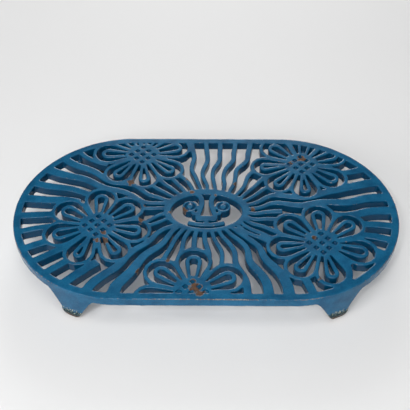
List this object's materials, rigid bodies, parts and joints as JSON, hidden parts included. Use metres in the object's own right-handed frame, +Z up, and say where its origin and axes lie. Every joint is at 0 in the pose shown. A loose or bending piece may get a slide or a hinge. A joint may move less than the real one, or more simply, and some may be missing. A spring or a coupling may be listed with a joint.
{
  "type": "trivet",
  "caption": "Oval openwork cast trivet on four tapered feet, with a sun in a ring, wavy rays and looped daisies, in glossy blue enamel.",
  "frame": {"origin": "middle of the oval on the table plane, under the centre of the plate", "axes": "+X along the long side to the right, +Y to the back, +Z up; the picture is taken from the front, -Y"},
  "size_m": [0.32, 0.19, 0.034],
  "materials": {
    "enamel": "glossy blue enamel, worn to iron and rust at the toes and on some edges"
  },
  "bodies": {
    "root": {"rim": "enamel", "foot_front_left": "enamel", "foot_front_right": "enamel", "foot_back_left": "enamel", "foot_back_right": "enamel", "sun_ring": "enamel", "sun_nose": "enamel", "sun_eye_left": "enamel", "sun_eye_right": "enamel", "sun_mouth": "enamel", "daisy_left_frame": "enamel", "daisy_left_petals": "enamel", "daisy_left_centre": "enamel", "daisy_right_frame": "enamel", "daisy_right_petals": "enamel", "daisy_right_centre": "enamel", "daisy_back_left_frame": "enamel", "daisy_back_left_petals": "enamel", "daisy_back_left_centre": "enamel", "daisy_back_right_frame": "enamel", "daisy_back_right_petals": "enamel", "daisy_back_right_centre": "enamel", "daisy_front_frame": "enamel", "daisy_front_petals": "enamel", "daisy_front_centre": "enamel", "rays_back": "enamel", "rays_back_right": "enamel", "rays_right_long": "enamel", "rays_right": "enamel", "rays_front_right": "enamel", "rays_front": "enamel", "rays_front_left": "enamel", "rays_left_long": "enamel", "rays_left": "enamel", "rays_back_left": "enamel", "ribs_left_rim": "enamel", "ribs_right_rim": "enamel"}
  },
  "joints": []
}
